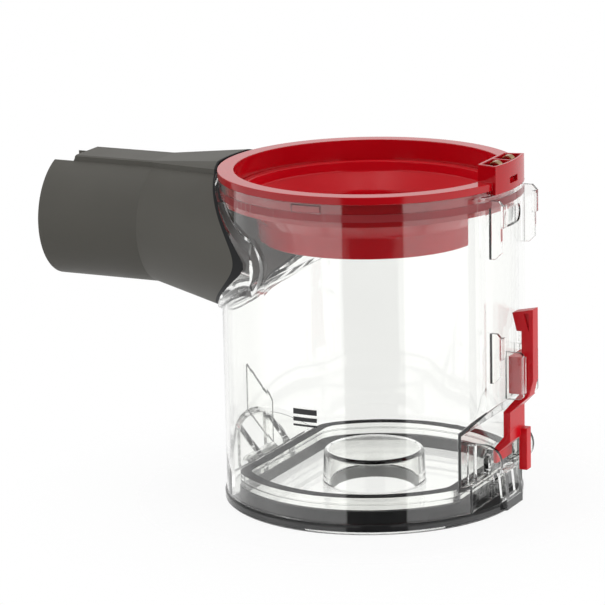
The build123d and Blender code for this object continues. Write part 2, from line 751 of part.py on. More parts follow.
def contact_spring(side):
    """Bent leaf contact standing in one pocket of the boss; side is -1 or 1."""
    middle_x = (BOSS_FLAT + BOSS_RADIUS) / 2
    middle_y = side * BOSS_INNER_HALF_WIDTH / 2
    crown = BOSS_TOP + CONTACT_PROUD - CONTACT_ROUND
    y0 = middle_y - CONTACT_WIDTH / 2
    y1 = middle_y + CONTACT_WIDTH / 2
    inside = CONTACT_ROUND - CONTACT_THICK
    bow = rod_y(CONTACT_ROUND, middle_x, crown, y0, y1) - rod_y(inside, middle_x, crown, y0, y1)
    bow &= block(-FAR, FAR, -FAR, FAR, crown, FAR)
    long_leg = block(middle_x - CONTACT_ROUND, middle_x - inside, y0, y1, BOSS_FLOOR, crown)
    short_leg = block(
        middle_x + inside, middle_x + CONTACT_ROUND, y0, y1, crown - CONTACT_ROUND, crown)
    return bow + long_leg + short_leg


# Hinged base and its seal
def plug_outline(inset):
    """D-shaped outline with a front and a rear flat, inset from the bin's bore."""
    front = FRONT_FLAT - BIN_WALL - LID_GAP - inset
    rear = REAR_FLAT - BIN_WALL - LID_GAP - inset
    middle = (rear - front) / 2
    outline = Circle(BIN_BORE - LID_GAP - inset) & Pos(middle, 0) * Rectangle(front + rear, FAR)
    return fillet(outline.vertices(), SEAL_CORNER)


def plug(inset, foot, top):
    return Pos(0, 0, foot) * extrude(plug_outline(inset), top - foot)


def catch_loop():
    """Springy loop on the base that hooks over the bin's strike."""
    bend = BASE_FLANGE_TOP + CATCH_BEND
    bar_outer = CATCH_BAR_INNER + CATCH_BAR_DEPTH
    loop = side_prism([
        (CATCH_ROOT_INNER, CATCH_FOOT),
        (CATCH_ROOT_OUTER, CATCH_FOOT),
        (CATCH_ROOT_OUTER, bend),
        (bar_outer, CATCH_BAR_TOP),
        (CATCH_BAR_INNER, CATCH_BAR_TOP),
        (CATCH_BAR_INNER, CATCH_BAR_FOOT),
        (CATCH_ROOT_INNER, bend),
    ], -CATCH_HALF_WIDTH, CATCH_HALF_WIDTH)
    inner = CATCH_HALF_WIDTH - CATCH_ARM
    return loop - block(0, FAR, -inner, inner, BASE_FLANGE_TOP + CATCH_SILL, CATCH_BAR_FOOT)


def knob():
    """Raised round knob in the middle of the base, closed on top."""
    return turned([
        (0, BASE_FLANGE_TOP),
        (KNOB_RADIUS + KNOB_FLARE, BASE_FLANGE_TOP),
        (KNOB_RADIUS, KNOB_TOP - KNOB_EDGE_DROP),
        (KNOB_RADIUS - KNOB_EDGE_INSET / 3, KNOB_TOP - KNOB_EDGE_DROP / 3),
        (KNOB_RADIUS - KNOB_EDGE_INSET, KNOB_TOP),
        (0, KNOB_TOP),
    ])


def base_flange():
    """Round plate with its sharp edges taken off."""
    plate = disc(BASE_RADIUS, 0, BASE_FLANGE_TOP)
    return chamfer(plate.edges().filter_by(GeomType.CIRCLE), BASE_EDGE_CHAMFER)


def set_back(ring):
    """The ring with its hinge side set back, so that the base can swing."""
    return ring & Pos(SEAL_SWING_RELIEF, 0, 0) * ring


def washer(gap):
    """Flat ring under the bin's bottom edge, as far as the hinge, grown by a gap."""
    ring = disc(WASHER_RADIUS + gap, WASHER_FOOT, BASE_FLANGE_TOP)
    ring &= block(-FRONT_FLAT - gap, FAR, -FAR, FAR, 0, FAR)
    return ring - plug(SEAL_WALL + gap, 0, FAR)


def plug_rim():
    """Thick rim of the plug above the seal, with a fine groove round it."""
    rim = set_back(plug(RIM_FIT, SEAL_TOP + SEAT_GAP, PLUG_TOP))
    groove = disc(BIN_RADIUS, RIM_GROOVE_FOOT, RIM_GROOVE_FOOT + RIM_GROOVE_HEIGHT)
    return rim - (groove - set_back(plug(RIM_FIT + RIM_GROOVE_DEPTH, 0, FAR)))


def bin_base():
    skirt_inset = SEAL_WALL + SEAT_GAP
    skirt = plug(skirt_inset, BASE_FLANGE_TOP, PLUG_TOP) + plug_rim()
    skirt -= plug(skirt_inset + PLUG_WALL, BASE_FLANGE_TOP + BASE_FLOOR_RISE, FAR)
    arm = block(
        HINGE_X - KNUCKLE_RADIUS, HINGE_X + KNUCKLE_RADIUS,
        -KNUCKLE_HALF_LENGTH, KNUCKLE_HALF_LENGTH, BASE_FLANGE_TOP / 2, HINGE_Z)
    knuckle = rod_y(KNUCKLE_RADIUS, HINGE_X, HINGE_Z, -KNUCKLE_HALF_LENGTH, KNUCKLE_HALF_LENGTH)
    base = base_flange() - washer(SEAT_GAP) + skirt + knob() + arm + knuckle + catch_loop()
    base -= disc(KNOB_BORE, -1, KNOB_TOP - KNOB_WALL)
    return base - rod_y(PIN_RADIUS + PIN_RUN, HINGE_X, HINGE_Z, -FAR, FAR)


def base_seal():
    """Seal of L section; its ring stands back at the hinge."""
    ring = set_back(plug(0, BASE_FLANGE_TOP, SEAL_TOP)) - plug(SEAL_WALL, 0, FAR)
    return ring + washer(0)


def hinge_pin():
    return rod_y(PIN_RADIUS, HINGE_X, HINGE_Z, -LUG_OUTER, LUG_OUTER)


# Release runner
def runner_stem():
    """Hooked head and narrow stem, with a triangular pocket on each side of the head."""
    stem = side_prism([
        (RUNNER_FACE, HEAD_TOP - HEAD_SLOPE),
        (STEM_OUTER, HEAD_TOP),
        (STEM_OUTER, BEND_TOP + RUNNER_TRAVEL),
        (STEM_OUTER - HEAD_SLOPE, BEND_TOP - HEAD_SLOPE),
        (PLATE_OUTER, BEND_FOOT),
        (PLATE_INNER, BEND_FOOT),
        (STEM_INNER, BEND_TOP),
        (STEM_INNER, HEAD_FOOT),
        (RUNNER_FACE + HEAD_SLOPE, HEAD_FOOT),
    ], -STEM_HALF_WIDTH, STEM_HALF_WIDTH)
    pocket = side_prism([
        (STEM_INNER + HEAD_SLOPE / 2, HEAD_TOP - HEAD_SLOPE),
        (STEM_OUTER - HEAD_SLOPE, HEAD_TOP - HEAD_SLOPE),
        (STEM_OUTER - HEAD_SLOPE, HEAD_FOOT),
    ], STEM_HALF_WIDTH - HEAD_POCKET_DEPTH, FAR)
    return stem - pocket - mirror(pocket, Plane.XZ)


def runner_apron():
    """Wide plate below the bend, with a toe that reaches behind the catch bar."""
    apron = side_prism([
        (PLATE_INNER, BEND_FOOT),
        (STEM_INNER, BEND_TOP),
        (STEM_OUTER - HEAD_SLOPE, BEND_TOP),
        (STEM_OUTER - HEAD_SLOPE, BEND_TOP - HEAD_SLOPE),
        (PLATE_OUTER, BEND_FOOT),
        (PLATE_OUTER, PLATE_FOOT),
        (TOE_OUTER, TOE_TOP),
        (TOE_OUTER, TOE_FOOT),
        (TOE_INNER, TOE_FOOT),
        (TOE_INNER, TOE_TOP + HEAD_SLOPE),
        (PLATE_INNER, PLATE_FOOT + HEAD_SLOPE),
    ], -PLATE_HALF_WIDTH, PLATE_HALF_WIDTH)
    shoulders = make_face(Polyline([
        (0, -PLATE_HALF_WIDTH, 0),
        (0, -PLATE_HALF_WIDTH, BEND_FOOT),
        (0, -STEM_HALF_WIDTH, BEND_TOP),
        (0, STEM_HALF_WIDTH, BEND_TOP),
        (0, PLATE_HALF_WIDTH, BEND_FOOT),
        (0, PLATE_HALF_WIDTH, 0),
    ], close=True))
    return apron & extrude(shoulders, FAR, dir=(1, 0, 0))


def release_runner():
    slider = block(
        RUNNER_FACE, BLOCK_OUTER, -BLOCK_HALF_WIDTH, BLOCK_HALF_WIDTH,
        BLOCK_FOOT, BLOCK_FOOT + BLOCK_HEIGHT)
    leg = block(
        LEG_INNER, LEG_INNER + LEG_DEPTH, PLATE_HALF_WIDTH - LEG_WIDTH, PLATE_HALF_WIDTH,
        LEG_FOOT, PLATE_FOOT + LEG_RISE)
    return runner_stem() + slider + runner_apron() + leg


PIECES = {
    "bin_body": bin_body,
    "inlet_duct": inlet_duct,
    "duct_gasket": duct_gasket,
    "collar": collar,
    "collar_seal": collar_seal,
    "shroud_scraper": shroud_scraper,
    "contact_spring_near": lambda: contact_spring(-1),
    "contact_spring_far": lambda: contact_spring(1),
    "bin_base": bin_base,
    "base_seal": base_seal,
    "hinge_pin": hinge_pin,
    "release_runner": release_runner,
}


def main():
    os.makedirs("parts", exist_ok=True)
    for node, make in PIECES.items():
        piece = make()
        piece.label = node
        export_step(piece, os.path.join("parts", node + ".step"))


if __name__ == "__main__":
    main()
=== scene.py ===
"""Looks of a clear cyclone dust bin: soft red parts, clear plastic, rubber and a plain studio."""

import json
from math import cos, pi, radians, sin

import bmesh
import bpy
from bpy.props import FloatProperty, FloatVectorProperty, PointerProperty
from mathutils import Matrix, Vector

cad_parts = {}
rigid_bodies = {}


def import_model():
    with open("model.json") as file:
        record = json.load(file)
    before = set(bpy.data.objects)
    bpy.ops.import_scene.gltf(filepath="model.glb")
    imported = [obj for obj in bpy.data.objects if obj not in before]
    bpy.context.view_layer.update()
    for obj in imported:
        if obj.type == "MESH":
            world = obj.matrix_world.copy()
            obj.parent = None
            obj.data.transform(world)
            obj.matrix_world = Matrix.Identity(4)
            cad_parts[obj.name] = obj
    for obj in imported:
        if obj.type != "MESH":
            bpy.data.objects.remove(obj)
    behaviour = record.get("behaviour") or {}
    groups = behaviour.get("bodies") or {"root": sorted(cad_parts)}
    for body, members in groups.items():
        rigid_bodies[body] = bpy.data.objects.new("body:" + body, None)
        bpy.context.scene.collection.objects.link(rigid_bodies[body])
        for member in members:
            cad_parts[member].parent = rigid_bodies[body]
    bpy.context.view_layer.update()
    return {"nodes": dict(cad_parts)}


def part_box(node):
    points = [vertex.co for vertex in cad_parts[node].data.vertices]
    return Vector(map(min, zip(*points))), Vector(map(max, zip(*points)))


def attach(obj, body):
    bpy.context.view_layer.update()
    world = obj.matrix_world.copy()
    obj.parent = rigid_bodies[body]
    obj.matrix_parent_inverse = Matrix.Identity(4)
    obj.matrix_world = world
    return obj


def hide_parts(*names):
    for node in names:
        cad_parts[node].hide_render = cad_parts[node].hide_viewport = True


bl_info = {
    "name": "Cyclone dust bin",
    "version": (1, 0, 0),
    "blender": (4, 5, 0),
    "location": "View3D > Sidebar > Dust bin",
    "description": "Finishes and soft edges for a clear dust bin with a hinged base",
    "category": "Object",
}

for leftover in list(bpy.data.objects):
    bpy.data.objects.remove(leftover)

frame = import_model()

# Places on the base, in metres
RIM_BELOW_KNOB = 0.0042
FLOOR_TOP = 0.005
BORE_REACH = 0.0187

# Limits for the copied meshes
MERGE_DISTANCE = 0.000002
FLAT_ANGLE = radians(0.5)
RIM_TOLERANCE = 0.00002
SHADING_ANGLE = radians(40.0)

# Height of each fill bar and the gap above it, from the lowest
FILL_BARS = ((0.0008, 0.00115), (0.00165, 0.00115), (0.0022, 0.0))
FILL_STEPS = 8

# Camera, floor and room
SENSOR_WIDTH = 36.0
CAMERA_SHIFT = (-0.115, 0.0461)
CAMERA_REACH = 50.0
FLOOR_HALF = 0.6
FLOOR_GAP = 0.0003
FLOOR_GLOW = 0.9
FLOOR_FADE = (0.08, 0.15)
CEILING_FADE = (0.25, 0.5)
PANEL_FADE = (-0.3, 0.0)
GAP_TURN = radians(1.5)
GAP_SOFT = radians(0.7)
LEVEL = (1.0, 1.0, 0.0)
WHITE = (1.0, 1.0, 1.0, 1.0)


class StageSettings(bpy.types.PropertyGroup):
    """Camera and lamps."""

    azimuth: FloatProperty(
        name="Azimuth", description="Camera's turn about the bin's axis",
        default=radians(25.0), subtype="ANGLE")
    elevation: FloatProperty(
        name="Elevation", description="Camera's height angle",
        default=radians(14.14), subtype="ANGLE")
    roll: FloatProperty(
        name="Roll", description="Camera's turn about its own axis",
        default=radians(0.92), subtype="ANGLE")
    distance: FloatProperty(
        name="Distance", description="From the camera to the bin's middle",
        default=1.453, unit="LENGTH")
    aim_height: FloatProperty(
        name="Aim height", description="Height of the point looked at",
        default=0.0668, unit="LENGTH")
    lens: FloatProperty(
        name="Lens", description="Focal length in millimetres", default=217.07)
    panel_light: FloatProperty(
        name="Side panels", description="Brightness of the room beside the camera, in reflections",
        default=1.5)
    ceiling_light: FloatProperty(
        name="Ceiling", description="Brightness of the room's ceiling, in reflections", default=0.4)
    back_light: FloatProperty(
        name="Back panel", description="Brightness of the panel behind the bin", default=1.2)
    key_light: FloatProperty(
        name="Overhead panel", description="Brightness of the soft panel above", default=1.0)
    strip_light: FloatProperty(
        name="Strip lamp", description="Brightness of the strip above, seen only as glints",
        default=6.0)
    left_key: FloatProperty(
        name="Left lamp", description="Brightness of the soft lamp on the left", default=1.0)
    right_key: FloatProperty(
        name="Right lamp", description="Brightness of the soft lamp on the right", default=1.7)
    inner_light: FloatProperty(
        name="Inner light",
        description="Share of the mirrored room that lights what is behind clear plastic",
        default=0.76)
    room_light: FloatProperty(
        name="Room", description="Brightness of the room on dull surfaces", default=0.34)
    gap_light: FloatProperty(
        name="Dark gap", description="Brightness of the gap between the panels, in reflections",
        default=0.04)
    gap_width: FloatProperty(
        name="Gap width", description="Half the width of the dark gap round the camera",
        default=radians(23.5), subtype="ANGLE")


class FinishSettings(bpy.types.PropertyGroup):
    """Colours of the plastics, rubbers and metals."""

    clear_tint: FloatVectorProperty(
        name="Clear plastic", description="Tint of the clear plastic", default=(0.98, 0.984, 0.97),
        subtype="COLOR", min=0.0, max=1.0)
    frost: FloatProperty(
        name="Frost", description="Roughness at the foot of the knob's bore", default=0.8)
    collar_red: FloatVectorProperty(
        name="Red plastic", description="Collar", default=(0.47, 0.002, 0.007),
        subtype="COLOR", min=0.0, max=1.0)
    scraper_red: FloatVectorProperty(
        name="Brighter red", description="Scraper and runner", default=(0.58, 0.003, 0.01),
        subtype="COLOR", min=0.0, max=1.0)
    duct_grey: FloatVectorProperty(
        name="Duct grey", description="Inlet duct", default=(0.095, 0.091, 0.079),
        subtype="COLOR", min=0.0, max=1.0)
    # Black for the gasket, the base seal and the printed fill bars, and for the thin sheet on the
    # plug's rim that is a painted dark line, standing for the black seal seen through the clear rim
    rubber_ink_and_painted_line_black: FloatVectorProperty(
        name="Black rubber", description="Gasket, base seal, lip and fill bars",
        default=(0.012, 0.012, 0.013),
        subtype="COLOR", min=0.0, max=1.0)
    seal_red: FloatVectorProperty(
        name="Seal rubber", description="Collar seal", default=(0.44, 0.02, 0.028),
        subtype="COLOR", min=0.0, max=1.0)
    bronze: FloatVectorProperty(
        name="Bronze leaf", description="Contacts", default=(0.5, 0.33, 0.17),
        subtype="COLOR", min=0.0, max=1.0)
    steel: FloatVectorProperty(
        name="Pin steel", description="Hinge pin", default=(0.6, 0.6, 0.61),
        subtype="COLOR", min=0.0, max=1.0)


class DetailSettings(bpy.types.PropertyGroup):
    """Sizes of what the scene adds."""

    collar_edge: FloatProperty(
        name="Collar edge", description="Softening of the collar's edges",
        default=0.0004, unit="LENGTH")
    runner_edge: FloatProperty(
        name="Runner edge", description="Softening of the runner's edges",
        default=0.0006, unit="LENGTH")
    scraper_edge: FloatProperty(
        name="Scraper edge", description="Softening of the scraper's edges",
        default=0.0008, unit="LENGTH")
    collar_seal_press: FloatProperty(
        name="Collar seal press", description="How far the collar's seal swells onto its seat",
        default=0.00006, unit="LENGTH")
    base_seal_press: FloatProperty(
        name="Base seal press", description="How far the base's seal swells onto its seat",
        default=0.0002, unit="LENGTH")
    # Size of the thin black sheet on the plug's rim: a painted dark line standing for the black
    # seal seen through the clear rim
    painted_line_width: FloatProperty(
        name="Lip width", description="Width of the seal's lip on the plug's rim",
        default=0.0042, unit="LENGTH")
    painted_line_thick: FloatProperty(
        name="Lip thickness", description="Thickness of the seal's lip",
        default=0.00025, unit="LENGTH")
    clear_edge: FloatProperty(
        name="Clear edge", description="Softening of the clear plastic's edges",
        default=0.0004, unit="LENGTH")
    mark_foot: FloatProperty(
        name="Fill mark foot", description="Height of the lowest fill bar",
        default=0.0423, unit="LENGTH")
    mark_width: FloatProperty(
        name="Fill mark width", description="Length of the fill bars round the wall",
        default=0.0102, unit="LENGTH")
    mark_turn: FloatProperty(
        name="Fill mark turn", description="Place of the fill mark round the wall",
        default=radians(-91.5), subtype="ANGLE")
    mark_thick: FloatProperty(
        name="Fill mark thickness", description="Thickness of the printed bars",
        default=0.00008, unit="LENGTH")


# Nodes for the finishes
def new_finish(name):
    material = bpy.data.materials.new(name)
    material.use_nodes = True
    shader = material.node_tree.nodes["Principled BSDF"]
    return material, material.node_tree.nodes, material.node_tree.links, shader


def add_node(nodes, kind, values=None, operation=None):
    """New node with some of its inputs set."""
    node = nodes.new(kind)
    if operation:
        node.operation = operation
    for socket, value in (values or {}).items():
        node.inputs[socket].default_value = value
    return node


def span(nodes, start, end, values=None):
    """Map Range node from one limit to another."""
    node = add_node(nodes, "ShaderNodeMapRange", values)
    node.inputs["From Min"].default_value = start
    node.inputs["From Max"].default_value = end
    return node


def grain(nodes, links, scale, detail=2.0):
    """Noise on the piece's own coordinates."""
    place = nodes.new("ShaderNodeTexCoord")
    noise = add_node(nodes, "ShaderNodeTexNoise", {"Scale": scale, "Detail": detail})
    links.new(place.outputs["Object"], noise.inputs["Vector"])
    return noise


def vary_colour(nodes, links, shader, noise, colour, spread):
    """Colour that drifts a little with the noise."""
    ramp = nodes.new("ShaderNodeValToRGB")
    stops = zip(ramp.color_ramp.elements, (0.3, 0.7), (1.0 - spread, 1.0 + spread))
    for stop, position, share in stops:
        stop.position = position
        stop.color = [min(1.0, channel * share) for channel in colour] + [1.0]
    links.new(noise.outputs["Fac"], ramp.inputs["Fac"])
    links.new(ramp.outputs["Color"], shader.inputs["Base Color"])


def vary_roughness(nodes, links, shader, noise, low, high):
    """Roughness between two values, by the noise."""
    limits = span(nodes, 0.3, 0.7, {"To Min": low, "To Max": high})
    links.new(noise.outputs["Fac"], limits.inputs["Value"])
    links.new(limits.outputs["Result"], shader.inputs["Roughness"])


def add_bump(nodes, links, shader, noise, strength, depth):
    bump = add_node(nodes, "ShaderNodeBump", {"Strength": strength, "Distance": depth})
    links.new(noise.outputs["Fac"], bump.inputs["Height"])
    links.new(bump.outputs["Normal"], shader.inputs["Normal"])


def moulded_plastic(name, colour, low, high, grain_scale, grain_strength, shine=0.5):
    """Opaque moulded plastic with a slight drift of colour and a fine skin."""
    material, nodes, links, shader = new_finish(name)
    shader.inputs["Specular IOR Level"].default_value = shine
    drift = grain(nodes, links, 35.0)
    vary_colour(nodes, links, shader, drift, colour, 0.05)
    vary_roughness(nodes, links, shader, drift, low, high)
    skin = grain(nodes, links, grain_scale, 3.0)
    add_bump(nodes, links, shader, skin, grain_strength, 0.0001)
    return material


def clear_plastic(name, tint, edge):
    """Clear polished plastic with soft edges, that lets the lamps through."""
    material, nodes, links, shader = new_finish(name)
    shader.inputs["Transmission Weight"].default_value = 1.0
    shader.inputs["IOR"].default_value = 1.49
    drift = grain(nodes, links, 25.0)
    vary_colour(nodes, links, shader, drift, tint, 0.01)
    vary_roughness(nodes, links, shader, drift, 0.0, 0.03)
    soft = nodes.new("ShaderNodeBevel")
    soft.samples = 4
    soft.inputs["Radius"].default_value = edge
    links.new(soft.outputs["Normal"], shader.inputs["Normal"])
    path = nodes.new("ShaderNodeLightPath")
    through = nodes.new("ShaderNodeBsdfTransparent")
    mix = nodes.new("ShaderNodeMixShader")
    output = nodes["Material Output"]
    links.new(path.outputs["Is Shadow Ray"], mix.inputs["Fac"])
    links.new(shader.outputs["BSDF"], mix.inputs[1])
    links.new(through.outputs["BSDF"], mix.inputs[2])
    links.new(mix.outputs["Shader"], output.inputs["Surface"])
    return material


def frost_bore(material, roughness):
    """Frost the wall of the knob's bore, as far up as the floor of the base."""
    nodes = material.node_tree.nodes
    links = material.node_tree.links
    shader = nodes["Principled BSDF"]
    polished = shader.inputs["Roughness"].links[0].from_socket
    place = nodes.new("ShaderNodeTexCoord")
    split = nodes.new("ShaderNodeSeparateXYZ")
    level = add_node(nodes, "ShaderNodeVectorMath", {1: LEVEL}, "MULTIPLY")
    reach = add_node(nodes, "ShaderNodeVectorMath", operation="LENGTH")
    low = add_node(nodes, "ShaderNodeMath", {1: FLOOR_TOP}, "LESS_THAN")
    near = add_node(nodes, "ShaderNodeMath", {1: BORE_REACH}, "LESS_THAN")
    both = add_node(nodes, "ShaderNodeMath", operation="MULTIPLY")
    pick = add_node(nodes, "ShaderNodeMapRange", {"To Max": roughness})
    links.new(place.outputs["Object"], split.inputs["Vector"])
    links.new(place.outputs["Object"], level.inputs[0])
    links.new(level.outputs["Vector"], reach.inputs[0])
    links.new(split.outputs["Z"], low.inputs[0])
    links.new(reach.outputs["Value"], near.inputs[0])
    links.new(low.outputs["Value"], both.inputs[0])
    links.new(near.outputs["Value"], both.inputs[1])
    links.new(both.outputs["Value"], pick.inputs["Value"])
    links.new(polished, pick.inputs["To Min"])
    links.new(pick.outputs["Result"], shader.inputs["Roughness"])


def metal(name, colour, low, high):
    material, nodes, links, shader = new_finish(name)
    shader.inputs["Metallic"].default_value = 1.0
    drift = grain(nodes, links, 400.0)
    vary_colour(nodes, links, shader, drift, colour, 0.08)
    vary_roughness(nodes, links, shader, drift, low, high)
    return material


def dress(node, material):
    """Give a CAD node a finish."""
    thing = frame["nodes"][node]
    thing.data.materials.clear()
    thing.data.materials.append(material)
    return thing


def add_piece(name, shape, material, body):
    """Make an object from a bmesh, at the origin, and let it ride on a body."""
    mesh = bpy.data.meshes.new(name)
    shape.to_mesh(mesh)
    shape.free()
    mesh.materials.append(material)
    piece = bpy.data.objects.new(name, mesh)
    bpy.context.scene.collection.objects.link(piece)
    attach(piece, body)
    return piece


def merged_copy(node):
    """Copy of a node's mesh, with its loose triangles merged into clean faces."""
    shape = bmesh.new()
    shape.from_mesh(frame["nodes"][node].data)
    bmesh.ops.remove_doubles(shape, verts=shape.verts, dist=MERGE_DISTANCE)
    bmesh.ops.dissolve_limit(
        shape, angle_limit=FLAT_ANGLE, verts=shape.verts, edges=shape.edges)
    return shape


def swollen(node, rise):
    """Copy of a rubber node that presses on what it seals, as soft rubber does."""
    shape = merged_copy(node)
    moves = [(vert, vert.normal * vert.calc_shell_factor() * rise) for vert in shape.verts]
    for vert, move in moves:
        vert.co += move
    for face in shape.faces:
        face.smooth = True
    return shape


def even_shading(piece):
    """Keep wide faces flat and let the small rounded edges carry the turn."""
    piece.data.set_sharp_from_angle(angle=SHADING_ANGLE)
    weighted = piece.modifiers.new("even_shading", "WEIGHTED_NORMAL")
    weighted.mode = "FACE_AREA"
    weighted.keep_sharp = True


def soft_edges(node, width, sharp_angle):
    """Copy of a node's mesh, merged, with its sharp edges rounded."""
    shape = merged_copy(node)
    sharp = [
        edge for edge in shape.edges
        if edge.is_manifold and edge.calc_face_angle() > sharp_angle]
    bmesh.ops.bevel(
        shape, geom=sharp, offset=width, offset_type="OFFSET", segments=2, profile=0.5,
        affect="EDGES", clamp_overlap=True, material=-1)
    for face in shape.faces:
        face.smooth = True
    return shape


def closed_loops(edges):
    """Sort loose edges into closed loops, the widest first."""
    left = set(edges)
    loops = []
    while left:
        edge = left.pop()
        loop = [edge]
        ahead = edge.verts[1]
        while True:
            edge = next((link for link in ahead.link_edges if link in left), None)
            if edge is None:
                break
            left.discard(edge)
            loop.append(edge)
            ahead = edge.other_vert(ahead)
        loops.append(loop)

    def reach(loop):
        return max(vert.co.xy.length for edge in loop for vert in edge.verts)

    return sorted(loops, key=reach, reverse=True)


def painted_rim_line(width, thick):
    """Flat black sheet on top of the plug's rim, along its outer edge: a painted dark line standing
    for the black seal seen through the clear rim.
    """
    shape = merged_copy("bin_base")
    rim_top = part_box("bin_base")[1][2] - RIM_BELOW_KNOB
    aside = [
        face for face in shape.faces
        if any(abs(vert.co.z - rim_top) > RIM_TOLERANCE for vert in face.verts)]
    bmesh.ops.delete(shape, geom=aside, context="FACES")
    outline = closed_loops([edge for edge in shape.edges if edge.is_boundary])[0]
    kept = {vert for edge in outline for vert in edge.verts}
    bmesh.ops.delete(shape, geom=shape.faces[:], context="FACES_ONLY")
    spare = [vert for vert in shape.verts if vert not in kept]
    bmesh.ops.delete(shape, geom=spare, context="VERTS")
    sheet = bmesh.ops.edgeloop_fill(shape, edges=shape.edges[:])["faces"]
    bmesh.ops.inset_region(
        shape, faces=sheet, thickness=width, use_boundary=True, use_even_offset=True)
    bmesh.ops.delete(shape, geom=sheet, context="FACES")
    bmesh.ops.recalc_face_normals(shape, faces=shape.faces)
    if shape.faces[:][0].normal.z < 0.0:
        bmesh.ops.reverse_faces(shape, faces=shape.faces)
    raised = bmesh.ops.extrude_face_region(shape, geom=shape.faces[:], use_keep_orig=True)["geom"]
    upper = [item for item in raised if isinstance(item, bmesh.types.BMVert)]
    bmesh.ops.translate(shape, verts=upper, vec=(0.0, 0.0, thick))
    bmesh.ops.recalc_face_normals(shape, faces=shape.faces)
    for face in shape.faces:
        face.smooth = True
    return shape


class DUSTBIN_OT_clear_shell(bpy.types.Operator):
    """Finish the clear bin body and base"""

    bl_idname = "dustbin.clear_shell"
    bl_label = "Clear shell"

    def execute(self, context):
        finish = context.scene.dustbin_finish
        detail = context.scene.dustbin_detail
        body = clear_plastic("bin_clear_finish", finish.clear_tint, detail.clear_edge)
        dress("bin_body", body)
        base = clear_plastic("base_clear_finish", finish.clear_tint, detail.clear_edge)
        frost_bore(base, finish.frost)
        dress("bin_base", base)
        return {"FINISHED"}


class DUSTBIN_OT_duct(bpy.types.Operator):
    """Finish the inlet duct and its gasket"""

    bl_idname = "dustbin.duct"
    bl_label = "Inlet duct"

    def execute(self, context):
        finish = context.scene.dustbin_finish
        duct = moulded_plastic(
            "duct_finish", finish.duct_grey, low=0.48, high=0.58,
            grain_scale=2200.0, grain_strength=0.12, shine=0.25)
        dress("inlet_duct", duct)
        gasket = moulded_plastic(
            "gasket_finish", finish.rubber_ink_and_painted_line_black, low=0.5, high=0.65,
            grain_scale=1500.0, grain_strength=0.2, shine=0.15)
        dress("duct_gasket", gasket)
        return {"FINISHED"}


class DUSTBIN_OT_collar(bpy.types.Operator):
    """Finish the collar, its seal, the scraper and the contacts"""

    bl_idname = "dustbin.collar"
    bl_label = "Collar"

    def execute(self, context):
        finish = context.scene.dustbin_finish
        detail = context.scene.dustbin_detail
        red = moulded_plastic(
            "collar_finish", finish.collar_red, low=0.09, high=0.15,
            grain_scale=900.0, grain_strength=0.02, shine=0.35)
        shape = soft_edges("collar", detail.collar_edge, radians(40.0))
        collar = add_piece("collar_soft", shape, red, "bin")
        even_shading(collar)
        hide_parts("collar")
        rubber = moulded_plastic(
            "collar_seal_finish", finish.seal_red, low=0.5, high=0.6,
            grain_scale=1200.0, grain_strength=0.2)
        shape = swollen("collar_seal", detail.collar_seal_press)
        seal = add_piece("collar_seal_seated", shape, rubber, "bin")
        even_shading(seal)
        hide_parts("collar_seal")
        silicone = moulded_plastic(
            "scraper_finish", finish.scraper_red, low=0.1, high=0.16,
            grain_scale=900.0, grain_strength=0.02, shine=0.3)
        shape = soft_edges("shroud_scraper", detail.scraper_edge, radians(30.0))
        scraper = add_piece("scraper_soft", shape, silicone, "bin")
        even_shading(scraper)
        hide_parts("shroud_scraper")
        bronze = metal("contact_finish", finish.bronze, 0.2, 0.35)
        dress("contact_spring_near", bronze)
        dress("contact_spring_far", bronze)
        return {"FINISHED"}


class DUSTBIN_OT_base(bpy.types.Operator):
    """Finish the base's seal and the hinge pin, and paint a dark line on the plug's rim with a thin
    black sheet
    """

    bl_idname = "dustbin.base"
    bl_label = "Base seal and pin"

    def execute(self, context):
        finish = context.scene.dustbin_finish
        detail = context.scene.dustbin_detail
        rubber = moulded_plastic(
            "base_seal_finish", finish.rubber_ink_and_painted_line_black, low=0.4, high=0.55,
            grain_scale=1500.0, grain_strength=0.15, shine=0.2)
        shape = swollen("base_seal", detail.base_seal_press)
        seal = add_piece("base_seal_seated", shape, rubber, "base")
        even_shading(seal)
        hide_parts("base_seal")
        # Thin black sheet on the plug's rim: a painted dark line standing for the black seal seen
        # through the clear rim
        matt = moulded_plastic(
            "painted_rim_line_finish", finish.rubber_ink_and_painted_line_black, low=0.6, high=0.75,
            grain_scale=1500.0, grain_strength=0.15, shine=0.12)
        shape = painted_rim_line(detail.painted_line_width, detail.painted_line_thick)
        dark_rim_line = add_piece("base_painted_rim_line", shape, matt, "base")
        even_shading(dark_rim_line)
        dress("hinge_pin", metal("pin_finish", finish.steel, 0.25, 0.4))
        return {"FINISHED"}


class DUSTBIN_OT_runner(bpy.types.Operator):
    """Round the edges of the release runner and finish it"""

    bl_idname = "dustbin.runner"
    bl_label = "Release runner"

    def execute(self, context):
        finish = context.scene.dustbin_finish
        detail = context.scene.dustbin_detail
        red = moulded_plastic(
            "runner_finish", finish.scraper_red, low=0.24, high=0.32,
            grain_scale=900.0, grain_strength=0.04, shine=0.3)
        shape = soft_edges("release_runner", detail.runner_edge, radians(20.0))
        runner = add_piece("runner_soft", shape, red, "runner")
        even_shading(runner)
        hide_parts("release_runner")
        return {"FINISHED"}


